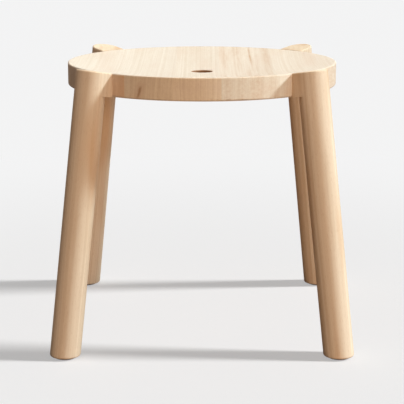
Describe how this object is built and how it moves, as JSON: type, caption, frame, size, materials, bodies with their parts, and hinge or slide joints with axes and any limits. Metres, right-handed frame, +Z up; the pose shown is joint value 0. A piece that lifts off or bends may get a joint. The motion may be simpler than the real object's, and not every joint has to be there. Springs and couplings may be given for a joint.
{
  "type": "stacking stool",
  "caption": "Low wooden stool: round dished seat with a finger hole on round splayed legs whose tops rise past the rim, so that stools nest in a stack.",
  "frame": {"origin": "on the floor, below the centre of the round seat", "axes": "+Z up; -Y towards the viewer of the picture; the legs stand on the diagonals of X and Y"},
  "size_m": [0.4864, 0.4864, 0.4575],
  "materials": {
    "seat_wood": "pale hardwood, matte clear coat",
    "leg_wood": "pale hardwood, matte clear coat",
    "dowel_wood": "bare hardwood",
    "glide_plastic": "matte",
    "nail_steel": "zinc plated"
  },
  "bodies": {
    "root": {"seat_board_left_outer": "seat_wood", "seat_board_left_inner": "seat_wood", "seat_board_centre": "seat_wood", "seat_board_right_inner": "seat_wood", "seat_board_right_outer": "seat_wood", "leg_front_left": "leg_wood", "leg_front_right": "leg_wood", "leg_rear_right": "leg_wood", "leg_rear_left": "leg_wood", "dowel_front_left_left": "dowel_wood", "dowel_front_left_right": "dowel_wood", "dowel_front_right_left": "dowel_wood", "dowel_front_right_right": "dowel_wood", "dowel_rear_right_left": "dowel_wood", "dowel_rear_right_right": "dowel_wood", "dowel_rear_left_left": "dowel_wood", "dowel_rear_left_right": "dowel_wood", "foot_glide_front_left": "glide_plastic", "foot_glide_front_right": "glide_plastic", "foot_glide_rear_right": "glide_plastic", "foot_glide_rear_left": "glide_plastic", "glide_nail_front_left": "nail_steel", "glide_nail_front_right": "nail_steel", "glide_nail_rear_right": "nail_steel", "glide_nail_rear_left": "nail_steel"}
  },
  "joints": []
}
